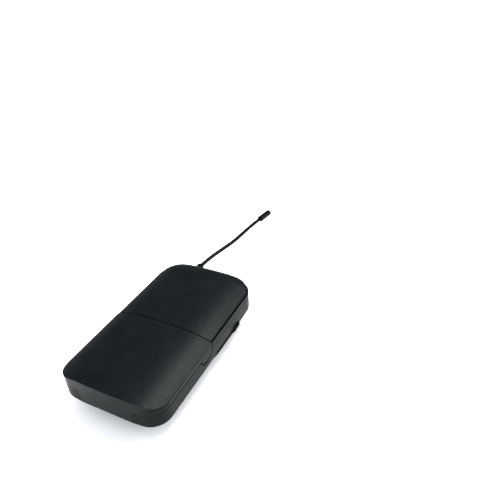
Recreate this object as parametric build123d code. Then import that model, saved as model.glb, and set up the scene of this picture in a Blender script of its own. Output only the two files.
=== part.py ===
"""Wireless bodypack transmitter, built from separate pieces, in millimetres.

Row frame: X runs across the case, Y towards the antenna end and Z out of the front.
The origin is the centre of the flat back face. The belt clip hangs below it, at negative Z.
"""
import math
import os

from build123d import *

# Case: plan outline, seen from the front
CASE_WIDTH = 64.0
TOP_Y = 55.0
BOTTOM_Y = -55.9
BOTTOM_BOW_RADIUS = 243.0
TOP_CORNER_RADIUS = 14.1
BOTTOM_CORNER_RADIUS = 11.1

# Case: levels, from the back face outwards
EDGE_Z = 4.8
PARTING_Z = 13.4
CREASE_Z = 16.8
CROWN_Z = 21.0
CROWN_POWER = 3.18
DROOP = 1.45
DROOP_START_Y = 46.0
DROOP_POWER = 2.2
BACK_INSET = 7.0
EDGE_ROUND = 1.3

# Walls and shut lines
WALL = 1.8
SKIN = 1.6
CHAMFER_WALL = 3.2
RIM_WIDTH = 0.5
RIM_BEVEL = 0.45
COVER_GAP = 0.65
DOOR_GAP = 0.65
DOOR_END_GAP = 0.1
SPLIT_Y = -1.9
SPLIT_GAP = 0.55
RUN_GAP = 0.3

# Shadow grooves
GROOVE_DEPTH = 0.3
FRAME_GROOVE = 0.35
CREASE_GROOVE = 0.45
CREASE_GROOVE_END_Y = -54.0
CREASE_LIP = 0.15

# Lip behind the door's side seams
LIP_X = 29.4
LIP_THICKNESS = 0.65
LIP_TOP_Z = 14.5
LIP_Y0 = -42.0
LIP_Y1 = -16.4

# Screw posts
CASE_POST = (20.5, 46.0)
BOARD_POST = (20.5, 14.0)
MIDDLE_POST_Y = -3.2
DECK_POST = (23.0, -13.6)
POST_RADIUS = 2.6
PILOT_RADIUS = 0.75

# Battery door hinge
HINGE_Y = -53.2
HINGE_Z = 6.6
BARREL_RADIUS = 2.65
TONGUE_TOP_X = 17.6
TONGUE_MID_X = 16.6
TONGUE_MID_Z = 9.2
TONGUE_LOW_X = 16.5
SEAM_LEFT = 0.45
SEAM_RIGHT = 0.2
PIN_RADIUS = 1.0
PIN_RUN = 0.05

# Latch tabs on the door's sides
TAB_TOP_Y = -2.6
TAB_END_Y = -14.2
TAB_LOW_Z = 9.3
TAB_THICKNESS = 1.6
TAB_SEAM = 0.15
TAB_NOTCH_GAP = 0.85

# Cells: two AA, across the case
CELL_RADIUS = 7.1
CELL_LENGTH = 50.5
CELL_Z = 10.0
CELL_YS = (-41.7, -26.6)
NUB_LENGTH = 1.0
NUB_RADIUS = 2.7
TRAY_TOP_Z = 12.0

# Circuit board and what stands on it
PCB_Z = 6.6
PCB_THICKNESS = 1.6
PCB_TOP = PCB_Z + PCB_THICKNESS
PCB_HALF_X = 24.5
PCB_Y0 = -16.6
PCB_Y1 = 47.0

# Control deck under the door
DECK_Z = 12.2
DECK_THICKNESS = 1.2
DECK_TOP = DECK_Z + DECK_THICKNESS
DECK_Y0 = -17.2
DECK_Y1 = -2.6
DECK_HALF_X = 26.0
DECK_MID_Y = -9.6
BUTTON_XS = (-17.0, -9.2)
BUTTON_RADIUS = 2.1
DISPLAY_X = 2.6
DIAL_X = 15.6
DIAL_RADIUS = 3.7

# Top end: antenna, lamp, switch and jack
PORT_Z = 10.4
ANTENNA_X = -15.5
LED_X = -8.4
SWITCH_X = -2.9
SWITCH_TRAVEL = 3.0
JACK_X = 11.2
JACK_Z = 11.6
JACK_BORE = 4.9
JACK_BORE_LENGTH = 5.5
JACK_MOUTH_Y = TOP_Y + 1.2

# Antenna: boot, whip and cap
BOOT_END_Y = 66.0
ROOT_RADIUS = 1.65
WHIP_RADIUS = 1.4
CAP_RADIUS = 2.35
WHIP_ROUTE = [
    (-15.5, 66.0),
    (-14.4, 78.0),
    (-11.3, 90.5),
    (-8.3, 104.0),
    (-7.0, 118.0),
    (-5.8, 130.0),
    (-4.0, 139.6),
]
CAP_LENGTH = 13.9

# Belt clip: one bent wire, right half of its route
WIRE_RADIUS = 0.95
CLIP_PIVOT_Y = 28.4
CLIP_PIVOT_Z = 6.3
CLIP_LEG_X = 14.2
CLIP_END_Y = -42.5
CLIP_FLOOR_Z = -5.45
CLIP_ROUTE = [
    (27.4, CLIP_PIVOT_Y, CLIP_PIVOT_Z),
    (32.6, CLIP_PIVOT_Y, CLIP_PIVOT_Z),
    (32.3, 22.8, 5.2),
    (31.4, 20.2, 4.8),
    (31.4, 6.4, 4.8),
    (29.4, 3.6, 1.4),
    (26.0, 1.6, -3.0),
    (21.5, -1.0, CLIP_FLOOR_Z),
    (CLIP_LEG_X, -5.5, CLIP_FLOOR_Z),
    (CLIP_LEG_X, CLIP_END_Y, CLIP_FLOOR_Z),
]
CLIP_RADII = [1.2, 2.2, 2.2, 3.0, 3.0, 3.0, 3.0, 5.0, 7.0]

# Channel for the clip wire along each lower side edge
CHANNEL_X = 27.6
CHANNEL_Z = 6.3
CHANNEL_Y0 = 1.4
CHANNEL_Y1 = 26.0
CLIP_POCKET_X = 31.0

PARTS = {}


def keep(name, shape):
    """Name a finished piece."""
    PARTS[name] = shape
    return shape


def group(shapes):
    """Several separate solids as one piece."""
    return Compound(children=[solid for shape in shapes for solid in shape.solids()])


def box(x0, x1, y0, y1, z0, z1):
    """Box between two corners."""
    centre = ((x0 + x1) / 2, (y0 + y1) / 2, (z0 + z1) / 2)
    return Pos(*centre) * Box(x1 - x0, y1 - y0, z1 - z0)


def rod_x(x0, x1, y, z, radius):
    """Round bar along X."""
    return Pos((x0 + x1) / 2, y, z) * Rot(0, 90, 0) * Cylinder(radius, abs(x1 - x0))


def rod_y(x, y0, y1, z, radius, far_radius=None):
    """Round bar along Y, tapered when a second radius is given."""
    turn = Pos(x, (y0 + y1) / 2, z) * Rot(-90, 0, 0)
    if far_radius is None:
        return turn * Cylinder(radius, y1 - y0)
    return turn * Cone(radius, far_radius, y1 - y0)


def rod_z(x, y, z0, z1, radius):
    """Round bar along Z."""
    return Pos(x, y, (z0 + z1) / 2) * Cylinder(radius, z1 - z0)


def mirror_x(shape):
    """The same piece on the other side of the case."""
    return mirror(shape, about=Plane.YZ)


# ---------------------------------------------------------------- case outline

def outline(inset, z=0.0):
    """Case outline in plan, drawn in by a distance, on a level."""
    half = CASE_WIDTH / 2 - inset
    top = TOP_Y - inset
    low = BOTTOM_Y + inset
    bow = BOTTOM_BOW_RADIUS - inset
    corner_y = low + bow - math.sqrt(bow**2 - half**2)
    edges = [
        Line((-half, top), (half, top)),
        Line((half, top), (half, corner_y)),
        ThreePointArc((half, corner_y), (0, low), (-half, corner_y)),
        Line((-half, corner_y), (-half, top)),
    ]
    face = make_face(edges)
    uppers = [v for v in face.vertices() if v.Y > 0]
    face = fillet(uppers, TOP_CORNER_RADIUS - inset)
    lowers = [v for v in face.vertices() if v.Y < corner_y + 0.01 and abs(v.X) > half - 0.01]
    face = fillet(lowers, BOTTOM_CORNER_RADIUS - inset)
    return Pos(0, 0, z) * face


def prism(inset, z0, z1):
    """Case outline as an upright prism."""
    return extrude(outline(inset, z0), z1 - z0)


def crown_height(x):
    """Level of the crowned front at a distance from the middle."""
    half = CASE_WIDTH / 2
    return CREASE_Z + (CROWN_Z - CREASE_Z) * (1 - (abs(x) / half) ** CROWN_POWER)


def crown_section(y, drop):
    """Cross-section at one place along the case, from the back up to the front lowered by a drop."""
    half = CASE_WIDTH / 2 + 1.0
    steps = 12
    reach = max(0.0, (y - DROOP_START_Y) / (TOP_Y - DROOP_START_Y))
    down = drop + DROOP * reach**DROOP_POWER
    xs = [half * (2 * i / steps - 1) for i in range(steps + 1)]
    rim = crown_height(half) - down
    top = Spline([(x, crown_height(x) - down) for x in xs])
    sides = Polyline((-half, rim), (-half, 0.0), (half, 0.0), (half, rim))
    return Plane.XZ.offset(-y) * make_face([top, sides])


def under_crown(drop):
    """Everything under the crowned front lowered by a drop; the front droops a little at the top end."""
    straight = extrude(crown_section(-70.0, drop), -(DROOP_START_Y + 70.0))
    ends = [DROOP_START_Y + 3.0 * step for step in range(5)]
    drooped = loft([crown_section(y, drop) for y in ends])
    return straight + drooped


def case_outside():
    """Outer shape of the rear case: sloped back edge, rounded into upright walls."""
    slope = loft([outline(BACK_INSET, 0.0), outline(0.0, EDGE_Z)], ruled=True)
    shell = slope + prism(0.0, EDGE_Z, PARTING_Z)
    ring = shell.edges().filter_by(lambda edge: abs(edge.center().Z - EDGE_Z) < 0.01)
    return fillet(ring, EDGE_ROUND)


def case_inside(gap=0.0):
    """Hollow of the rear case, smaller by a gap where a part sits in it."""
    floor_inset = BACK_INSET * (1 - WALL / EDGE_Z) + CHAMFER_WALL + gap
    bend_z = EDGE_Z * (1 + (CHAMFER_WALL - WALL) / BACK_INSET)
    slope = loft([outline(floor_inset, WALL + gap), outline(WALL + gap, bend_z)], ruled=True)
    return slope + prism(WALL + gap, bend_z, PARTING_Z + 1.0)


# ---------------------------------------------------------------- shells

def tongue_shape(gap_left, gap_right, z_top):
    """Door tongue on the end wall: a tapered panel that ends in the hinge barrel."""
    half = [
        (TONGUE_LOW_X, HINGE_Z),
        (TONGUE_MID_X, TONGUE_MID_Z),
        (TONGUE_TOP_X, PARTING_Z),
        (TONGUE_TOP_X, z_top),
    ]
    right = [(x + gap_right, z) for x, z in half]
    left = [(-x - gap_left, z) for x, z in reversed(half)]
    face = make_face(Polyline(right + left + right[:1]))
    return extrude(Plane.XZ.offset(50.0) * face, 8.0)


def port_cuts():
    """Holes in the top end wall for the boot, lamp, switch and jack."""
    y0 = TOP_Y - 4.0
    y1 = TOP_Y + 3.0
    slot_low = SWITCH_X - 1.5 - 0.35
    slot_high = SWITCH_X + SWITCH_TRAVEL + 1.5 + 0.35
    return [
        rod_y(ANTENNA_X, y0, y1, PORT_Z, 2.65),
        rod_y(LED_X, y0, y1, PORT_Z, 1.62),
        box(slot_low, slot_high, y0, y1, PORT_Z - 1.3, PORT_Z + 1.3),
        rod_y(JACK_X, y0, y1, JACK_Z, 5.95),
    ]


def tab_outline(gap):
    """Side view of a latch tab, as a face in the Y-Z plane, grown by a gap."""
    top = 16.5
    points = [
        (TAB_TOP_Y + gap, top + gap),
        (TAB_TOP_Y + gap, 13.2),
        (TAB_TOP_Y - 1.2 + gap, 11.2),
        (TAB_TOP_Y - 3.2, TAB_LOW_Z - gap),
        (TAB_END_Y + 2.2, TAB_LOW_Z + 0.4 - gap),
        (TAB_END_Y - gap, 13.4),
        (TAB_END_Y - gap, top + gap),
    ]
    face = make_face(Polyline(points + [points[0]]))
    lowest = face.vertices().sort_by(Axis.Y)[:3]
    return Plane.YZ * fillet(lowest, 1.2)


def build_rear_case():
    """Rear shell with bosses, seam lips, clip channels, hinge seat and latch notches."""
    case = case_outside() - case_inside()
    lugs = []
    for side in (-1, 1):
        xs = sorted((side * 17.0, side * 20.6))
        lugs.append(box(xs[0], xs[1], BOTTOM_Y + 1.2, -50.4, 1.0, 10.0))
        xs = sorted((side * (CHANNEL_X - 2.0), side * 31.4))
        lugs.append(box(xs[0], xs[1], CHANNEL_Y0 - 1.6, CLIP_PIVOT_Y + 2.6, 0.6, CHANNEL_Z + 2.2))
        lugs.append(rod_z(side * DECK_POST[0], DECK_POST[1], WALL - 0.4, DECK_Z, POST_RADIUS - 0.2))
        lugs.append(rod_z(side * BOARD_POST[0], BOARD_POST[1], WALL - 0.4, PCB_Z, POST_RADIUS))
        lugs.append(rod_z(side * CASE_POST[0], CASE_POST[1], WALL - 0.4, PARTING_Z, POST_RADIUS))
        xs = sorted((side * LIP_X, side * (CASE_WIDTH / 2 - WALL + 0.2)))
        lugs.append(box(xs[0], xs[1], LIP_Y0, LIP_Y1, PARTING_Z - 2.0, PARTING_Z - 0.1))
    lugs.append(rod_z(0, MIDDLE_POST_Y, WALL - 0.4, PCB_Z, POST_RADIUS - 0.2))
    outside = case_outside()
    for lug in lugs:
        case = case + (lug & outside)
    for side in (-1, 1):
        xs = sorted((side * LIP_X, side * (LIP_X + LIP_THICKNESS)))
        case = case + box(xs[0], xs[1], LIP_Y0, LIP_Y1, PARTING_Z - 1.0, LIP_TOP_Z)
    for side in (-1, 1):
        xs = sorted((side * CHANNEL_X, side * 34.0))
        case = case - box(xs[0], xs[1], CHANNEL_Y0, CHANNEL_Y1, -1.0, CHANNEL_Z)
        xs = sorted((side * CLIP_POCKET_X, side * 34.0))
        case = case - box(xs[0], xs[1], CHANNEL_Y1 - 2.0, CLIP_PIVOT_Y + 1.4, -1.0, CLIP_PIVOT_Z + 1.3)
        xs = sorted((side * 27.0, side * 34.0))
        case = case - rod_x(xs[0], xs[1], CLIP_PIVOT_Y, CLIP_PIVOT_Z, WIRE_RADIUS + PIN_RUN)
        case = case - rod_x(side * 12.0, side * 20.0, HINGE_Y, HINGE_Z, PIN_RADIUS)
        case = case - rod_z(side * DECK_POST[0], DECK_POST[1], 5.0, DECK_Z + 1.0, PILOT_RADIUS)
        case = case - rod_z(side * BOARD_POST[0], BOARD_POST[1], 3.0, PCB_Z + 1.0, PILOT_RADIUS)
        case = case - rod_z(side * CASE_POST[0], CASE_POST[1], -1.0, PARTING_Z + 1.0, 1.1)
        case = case - rod_z(side * CASE_POST[0], CASE_POST[1], -1.0, 3.4, 2.0)
    case = case - rod_z(0, MIDDLE_POST_Y, 3.0, PCB_Z + 1.0, PILOT_RADIUS)
    seat = tongue_shape(SEAM_LEFT, SEAM_RIGHT, PARTING_Z + 3.0)
    case = case - (seat & box(-30, 30, -60.0, -50.4, HINGE_Z, 20.0))
    low_x = -TONGUE_LOW_X - SEAM_LEFT
    high_x = TONGUE_LOW_X + SEAM_RIGHT
    case = case - rod_x(low_x, high_x, HINGE_Y, HINGE_Z, BARREL_RADIUS + RUN_GAP)
    case = case - box(low_x, high_x, -60.0, HINGE_Y + 0.8, 0.0, HINGE_Z + 1.0)
    for side in (1, -1):
        notch = extrude(tab_outline(TAB_NOTCH_GAP), 6.0)
        notch = Pos(CASE_WIDTH / 2 - 3.4, 0, 0) * notch
        case = case - (notch if side > 0 else mirror_x(notch))
    for cut in port_cuts():
        case = case - cut
    case = case - box(JACK_X - 7.7, JACK_X + 7.7, TOP_Y - WALL - 2.0, TOP_Y - WALL, 5.0, 20.0)
    case = case - box(-17.0, 17.0, 6.0, 42.0, -1.0, 0.3)
    return keep("rear_case", case)


def build_front_frame():
    """Upper front frame: the band beside the front cover, its ledge and the cross bar."""
    region = box(-40, 40, SPLIT_Y + 0.15, 70, PARTING_Z, 30)
    crowned = under_crown(0.0) & prism(0.0, PARTING_Z, 30.0) & region
    ledge_under = under_crown(SKIN)
    frame = crowned - (prism(RIM_WIDTH, 0.0, 30.0) - ledge_under)
    hollow = prism(WALL, 0.0, 30.0) & box(-40, 40, SPLIT_Y + 1.8, 70, 0, 30)
    frame = frame - hollow
    for cut in port_cuts():
        frame = frame - cut
    for side in (-1, 1):
        x = side * CASE_POST[0]
        frame = frame + rod_z(x, CASE_POST[1], PARTING_Z, 16.6, POST_RADIUS)
        rib = box(x - 1.0, x + 1.0, CASE_POST[1] + 1.0, 56.0, PARTING_Z, 16.6)
        frame = frame + (rib & prism(WALL - 0.3, 0.0, 30.0))
        frame = frame - rod_z(x, CASE_POST[1], PARTING_Z - 1.0, 15.6, 0.9)
    groove = prism(0.0, PARTING_Z, PARTING_Z + FRAME_GROOVE) - prism(GROOVE_DEPTH, 0.0, 30.0)
    frame = frame - (groove & box(-40, 40, SPLIT_Y - 1.0, 70, 0, 30))
    bevelled = loft([outline(0.0, CREASE_Z - RIM_BEVEL), outline(RIM_BEVEL, CREASE_Z)], ruled=True)
    frame = frame & (prism(0.0, 0.0, CREASE_Z - RIM_BEVEL) + bevelled + prism(RIM_WIDTH, 0.0, 30.0))
    return keep("front_frame", frame)


def build_front_cover():
    """Crowned inlay panel of the upper half, with a rolled top edge."""
    inset = RIM_WIDTH + COVER_GAP
    panel = under_crown(0.0) - under_crown(SKIN - 0.05)
    panel = panel & prism(inset, 0.0, 30.0)
    panel = panel & box(-40, 40, SPLIT_Y + SPLIT_GAP / 2, 70, 0, 30)
    return keep("front_cover", panel)


def door_underside():
    """What is cut from under the door: an edge that rises inwards, and a wider seam along the sides."""
    rise = PARTING_Z + DOOR_END_GAP
    slope = loft([outline(-0.6, rise - 0.25), outline(SKIN + 0.2, rise + 0.75)], ruled=True)
    seam = Polyline((0.0, 0.0), (0.0, PARTING_Z + DOOR_GAP), (-43.0, PARTING_Z + DOOR_GAP),
                    (-54.2, PARTING_Z + DOOR_END_GAP), (-54.2, 0.0), (0.0, 0.0))
    return slope + extrude(Plane.YZ.offset(-40.0) * make_face(seam), 80.0)


def build_battery_door():
    """Lower front door: crowned skin, side skirts, end wall, tongue and hinge barrel."""
    low = PARTING_Z + DOOR_END_GAP
    region = box(-40, 40, -70, SPLIT_Y - SPLIT_GAP / 2, low, 30)
    shell = under_crown(0.0) & prism(0.0, low, 30.0) & region
    inner = under_crown(SKIN) & prism(SKIN, 0.0, 30.0)
    inner = inner & box(-40, 40, -70, SPLIT_Y - SPLIT_GAP / 2 - 1.2, 0, 30)
    door = shell - inner - door_underside()
    for y in (-20.0, -48.6):
        rib = under_crown(0.2) & prism(0.3, 0.0, 30.0)
        door = door + (rib & box(-27, 27, y - 0.6, y + 0.6, 17.4, 30))
    lip = CREASE_Z - CREASE_LIP
    groove = prism(0.0, lip - CREASE_GROOVE, lip) - prism(GROOVE_DEPTH, 0.0, 30.0)
    door = door - (groove & box(-40, 40, CREASE_GROOVE_END_Y, 0, 0, 30))
    join = PARTING_Z + DOOR_GAP + 0.9
    wall = prism(0.0, HINGE_Z, join) - prism(SKIN, 0.0, 30.0)
    tongue = (wall & tongue_shape(0.0, 0.0, join)) & box(-30, 30, -60, -50.0, HINGE_Z, 20)
    barrel = rod_x(-TONGUE_LOW_X, TONGUE_LOW_X, HINGE_Y, HINGE_Z, BARREL_RADIUS) & prism(0.0, 0.0, 30.0)
    web = box(-TONGUE_LOW_X, TONGUE_LOW_X, BOTTOM_Y + 0.35, HINGE_Y, HINGE_Z, HINGE_Z + 1.6)
    door = door + tongue + barrel + (web & prism(0.0, 0.0, 30.0))
    for side in (-1, 1):
        door = door - rod_x(side * 10.5, side * 17.0, HINGE_Y, HINGE_Z, PIN_RADIUS + PIN_RUN)
        pocket = Pos(CASE_WIDTH / 2 - 5.4, 0, 0) * extrude(tab_outline(TAB_SEAM), 8.0)
        door = door - (pocket if side > 0 else mirror_x(pocket))
    return keep("battery_door", door)


def build_latch_tabs():
    """Two press tabs in the door's sides, each with a catch behind the case wall."""
    half = CASE_WIDTH / 2
    plate = Pos(half - TAB_THICKNESS, 0, 0) * extrude(tab_outline(0.0), TAB_THICKNESS)
    plate = plate - (box(0, 40, -30, 10, 0, 30) - under_crown(0.12))
    mid = (TAB_TOP_Y + TAB_END_Y) / 2
    stem = box(28.5, half - TAB_THICKNESS, mid - 3.4, mid + 3.4, 10.4, 14.6)
    catch = box(28.5, 29.9, mid - 3.0, mid + 3.0, 7.6, 10.4)
    tab = plate + stem + catch
    keep("latch_tab_right", tab)
    keep("latch_tab_left", mirror_x(tab))


def build_rear_label():
    """Blank rating label in its recess on the back."""
    face = Pos(0, 24.0) * Rectangle(33.4, 35.4)
    face = fillet(face.vertices(), 1.5)
    keep("rear_label", Pos(0, 0, 0.1) * extrude(face, 0.2))


# ---------------------------------------------------------------- battery bay

def build_battery_tray():
    """Cradle for the two cells, between the hinge and the control deck."""
    y0 = -50.2
    y1 = -18.4
    tray = case_inside(0.2) & box(-28.4, 28.4, y0, y1, 0, TRAY_TOP_Z)
    for y in CELL_YS:
        tray = tray - rod_x(-27.1, 27.1, y, CELL_Z, CELL_RADIUS + 0.3)
        tray = tray - box(-27.1, 27.1, y - 5.0, y + 5.0, CELL_Z - 4.6, TRAY_TOP_Z + 1)
    tray = tray - box(-27.1, 27.1, CELL_YS[0] - 7.4, CELL_YS[1] + 7.4, CELL_Z, TRAY_TOP_Z + 1)
    ribs = box(-1.0, 1.0, y0 + 0.4, y1 - 0.4, 2.2, CELL_Z - 1.0)
    for y in CELL_YS:
        ribs = ribs - rod_x(-3, 3, y, CELL_Z, CELL_RADIUS + 0.3)
    return keep("battery_tray", tray + (ribs & case_inside(0.2)))


def build_cells():
    """Two AA cells lying across the case, pointing opposite ways."""
    for name, y, way in (("battery_lower", CELL_YS[0], 1), ("battery_upper", CELL_YS[1], -1)):
        can_end = CELL_LENGTH / 2 - NUB_LENGTH
        can = rod_x(-CELL_LENGTH / 2, can_end, 0, 0, CELL_RADIUS)
        can = fillet(can.edges(), 0.5)
        nub = rod_x(can_end - 0.2, CELL_LENGTH / 2, 0, 0, NUB_RADIUS)
        cell = can + nub
        if way < 0:
            cell = mirror_x(cell)
        keep(name, Pos(way * 0.8, y, CELL_Z) * cell)


def build_contacts():
    """Leaf springs on the minus ends, plates on the plus ends and the link between the cells."""
    leaf_half = 3.0
    leaves = []
    plates = []
    for y, way in zip(CELL_YS, (1, -1)):
        plus_x = way * (CELL_LENGTH / 2 + 0.8)
        minus_x = -way * (CELL_LENGTH / 2 - 0.8)
        wall_x = way * 27.05
        plates.append(plate_between(plus_x, wall_x, y, leaf_half))
        back_x = -way * 27.05
        front_x = minus_x - way * 0.2
        foot_x = back_x + way * 0.3
        path = Polyline((front_x, 9.0), (front_x, 11.4), (foot_x, 14.2), (foot_x, 5.0))
        leaf = trace(path, 0.3)
        leaves.append(extrude(Plane.XZ.offset(-(y - leaf_half)) * leaf, -2 * leaf_half))
    keep("battery_springs", group(leaves))
    keep("battery_plates", group(plates))


def plate_between(x_face, x_wall, y, half):
    """Plus contact plate, from the tray wall to the cell's nub."""
    xs = sorted((x_face, x_wall))
    return box(xs[0], xs[1], y - half, y + half, CELL_Z - 4.4, CELL_Z + 4.4)


# ---------------------------------------------------------------- electronics

def build_main_pcb():
    """Main circuit board, notched round the jack and drilled for its screws."""
    face = Pos(0, (PCB_Y0 + PCB_Y1) / 2) * Rectangle(2 * PCB_HALF_X, PCB_Y1 - PCB_Y0)
    face = fillet(face.vertices(), 2.0)
    board = Pos(0, 0, PCB_Z) * extrude(face, PCB_THICKNESS)
    board = board - box(JACK_X - 8.0, 30.0, 40.6, 60, 0, 20)
    board = board - box(-30.0, -17.3, 42.6, 60, 0, 20)
    for side in (-1, 1):
        board = board - rod_z(side * BOARD_POST[0], BOARD_POST[1], 0, 20, 1.1)
        board = board - rod_z(side * DECK_POST[0], DECK_POST[1], 0, 20, 2.8)
    board = board - rod_z(0, MIDDLE_POST_Y, 0, 20, 1.1)
    return keep("main_pcb", board)


def build_board_parts():
    """Radio shield, chips and other parts soldered to the board."""
    shield = box(-22.0, -5.0, 19.5, 40.0, PCB_TOP, PCB_TOP + 3.0)
    shield = shield - box(-21.7, -5.3, 19.8, 39.7, PCB_TOP - 1, PCB_TOP + 2.7)
    keep("rf_shield", shield)
    chips = [
        box(2.0, 10.0, 22.0, 30.0, PCB_TOP, PCB_TOP + 1.2),
        box(12.5, 17.5, 20.0, 26.0, PCB_TOP, PCB_TOP + 1.4),
        box(-14.0, -8.0, 4.0, 10.0, PCB_TOP, PCB_TOP + 1.0),
        box(3.0, 8.0, 8.0, 11.2, PCB_TOP, PCB_TOP + 1.3),
    ]
    keep("pcb_chips", group(chips))
    cans = [rod_z(x, y, PCB_TOP, PCB_TOP + 5.0, 2.0) for x, y in ((14.0, 12.0), (14.0, 6.6), (1.5, 36.0))]
    keep("pcb_capacitors", group(cans))
    choke = box(-3.0, 3.0, 12.5, 18.0, PCB_TOP, PCB_TOP + 2.6)
    keep("pcb_inductor", fillet(choke.edges().filter_by(Axis.Z), 1.4))


def display_box(half_x, half_y, z0, z1):
    """Box centred on the display."""
    return box(DISPLAY_X - half_x, DISPLAY_X + half_x, DECK_MID_Y - half_y, DECK_MID_Y + half_y, z0, z1)


def build_controls():
    """Control deck with its switches, display and gain control."""
    deck = box(-DECK_HALF_X, DECK_HALF_X, DECK_Y0, DECK_Y1, DECK_Z, DECK_TOP)
    deck = fillet(deck.edges().filter_by(Axis.Z), 1.5)
    for x in BUTTON_XS:
        deck = deck - rod_z(x, DECK_MID_Y, 0, 20, BUTTON_RADIUS + 0.2)
    deck = deck - rod_z(DIAL_X, DECK_MID_Y, 0, 20, DIAL_RADIUS + 0.3)
    deck = deck - display_box(4.8, 3.1, 0, 20)
    deck = deck - display_box(5.8, 4.1, DECK_TOP - 0.8, 20)
    for side in (-1, 1):
        deck = deck - rod_z(side * DECK_POST[0], DECK_POST[1], 0, 20, 0.95)
    keep("control_deck", deck)
    keep("display_window", display_box(5.7, 4.0, DECK_TOP - 0.8, DECK_TOP))
    keep("channel_display", display_box(4.5, 3.5, PCB_TOP, DECK_Z - 0.1))
    switches = []
    low_y = DECK_MID_Y - 2.6
    high_y = DECK_MID_Y + 2.6
    for x in BUTTON_XS:
        body = box(x - 2.6, x + 2.6, low_y, high_y, PCB_TOP, PCB_TOP + 2.0)
        switches.append(body + rod_z(x, DECK_MID_Y, PCB_TOP, PCB_TOP + 2.4, 1.4))
    keep("tact_switches", group(switches))
    for name, x in zip(("group_button", "channel_button"), BUTTON_XS):
        cap = rod_z(x, DECK_MID_Y, 11.1, DECK_TOP + 0.9, BUTTON_RADIUS)
        cap = fillet(cap.edges().sort_by(Axis.Z)[-1], 0.4)
        keep(name, cap + rod_z(x, DECK_MID_Y, 11.1, 11.9, BUTTON_RADIUS + 0.7))
    pot = box(DIAL_X - 4.4, DIAL_X + 4.4, DECK_MID_Y - 4.4, DECK_MID_Y + 4.4, PCB_TOP, PCB_TOP + 2.8)
    keep("gain_control", pot - rod_z(DIAL_X, DECK_MID_Y, PCB_TOP + 0.8, 20, 1.5 + PIN_RUN))
    dial = rod_z(DIAL_X, DECK_MID_Y, 11.4, DECK_TOP + 0.8, DIAL_RADIUS)
    dial = fillet(dial.edges().sort_by(Axis.Z)[-1], 0.4)
    dial = dial - box(DIAL_X - 0.45, DIAL_X + 0.45, low_y, high_y, DECK_TOP - 0.2, 20)
    dial = dial + rod_z(DIAL_X, DECK_MID_Y, PCB_TOP + 0.9, 11.5, 1.5)
    keep("gain_dial", dial)


# ---------------------------------------------------------------- top end

def build_lamp_and_switch():
    """Power lamp with its lens, and the power slide switch."""
    lamp = rod_y(LED_X, 46.6, 50.4, PORT_Z, 1.5) + rod_y(LED_X, 46.0, 46.6, PORT_Z, 1.8)
    for side in (-1, 1):
        x = LED_X + side * 0.65
        lamp = lamp + box(x - 0.25, x + 0.25, 44.6, 46.2, PCB_TOP, PORT_Z)
    keep("power_lamp", lamp)
    lens = rod_y(LED_X, TOP_Y - 4.0, TOP_Y + 0.5, PORT_Z, 1.58)
    keep("lamp_lens", lens + rod_y(LED_X, TOP_Y - 3.4, TOP_Y - WALL - 0.05, PORT_Z, 2.3))
    mid = SWITCH_X + SWITCH_TRAVEL / 2
    body = box(mid - 4.4, mid + 4.4, 44.0, 50.4, PCB_TOP, PCB_TOP + 4.4)
    body = body - box(mid - 3.4, mid + 3.4, 46.6, 60.0, PORT_Z - 1.2, PORT_Z + 1.2)
    keep("power_switch", body)
    stem = box(SWITCH_X - 1.0, SWITCH_X + 1.0, 47.0, TOP_Y + 0.4, PORT_Z - 0.9, PORT_Z + 0.9)
    knob = box(SWITCH_X - 1.5, SWITCH_X + 1.5, TOP_Y - 0.9, TOP_Y + 1.3, PORT_Z - 1.1, PORT_Z + 1.1)
    knob = fillet(knob.edges().group_by(Axis.Y)[-1], 0.3)
    keep("power_switch_slider", stem + knob)


def build_jack():
    """Four-pin microphone jack: shell, insulator, pins and nut."""
    bore_end = JACK_MOUTH_Y - JACK_BORE_LENGTH
    shell = rod_y(JACK_X, 42.0, TOP_Y, JACK_Z, 5.9) + rod_y(JACK_X, TOP_Y, JACK_MOUTH_Y, JACK_Z, 6.6)
    shell = shell - rod_y(JACK_X, 40.0, bore_end, JACK_Z, JACK_BORE - 0.3)
    shell = shell - rod_y(JACK_X, bore_end, 60.0, JACK_Z, JACK_BORE)
    rim = shell.edges().filter_by(GeomType.CIRCLE).filter_by_position(Axis.Y, TOP_Y + 1.0, TOP_Y + 2.0)
    shell = chamfer(rim.sort_by(SortBy.RADIUS)[-1], 0.35)
    keep("jack_shell", shell)
    insert = rod_y(JACK_X, 43.0, 47.0, JACK_Z, JACK_BORE - 0.33)
    pins = []
    for turn in (45, 135, 225, 315):
        x = JACK_X + 2.4 * math.cos(math.radians(turn))
        z = JACK_Z + 2.4 * math.sin(math.radians(turn))
        insert = insert - rod_y(x, 42.0, 48.0, z, 0.55)
        pins.append(rod_y(x, 40.8, bore_end - 0.3, z, 0.55))
    keep("jack_insulator", insert)
    keep("jack_pins", group(pins))
    nut = Pos(JACK_X, TOP_Y - WALL - 0.1, JACK_Z) * Rot(90, 0, 0) * extrude(RegularPolygon(7.4, 6), 1.6)
    keep("jack_nut", nut - rod_y(JACK_X, 50.0, 54.0, JACK_Z, 5.93))


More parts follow.
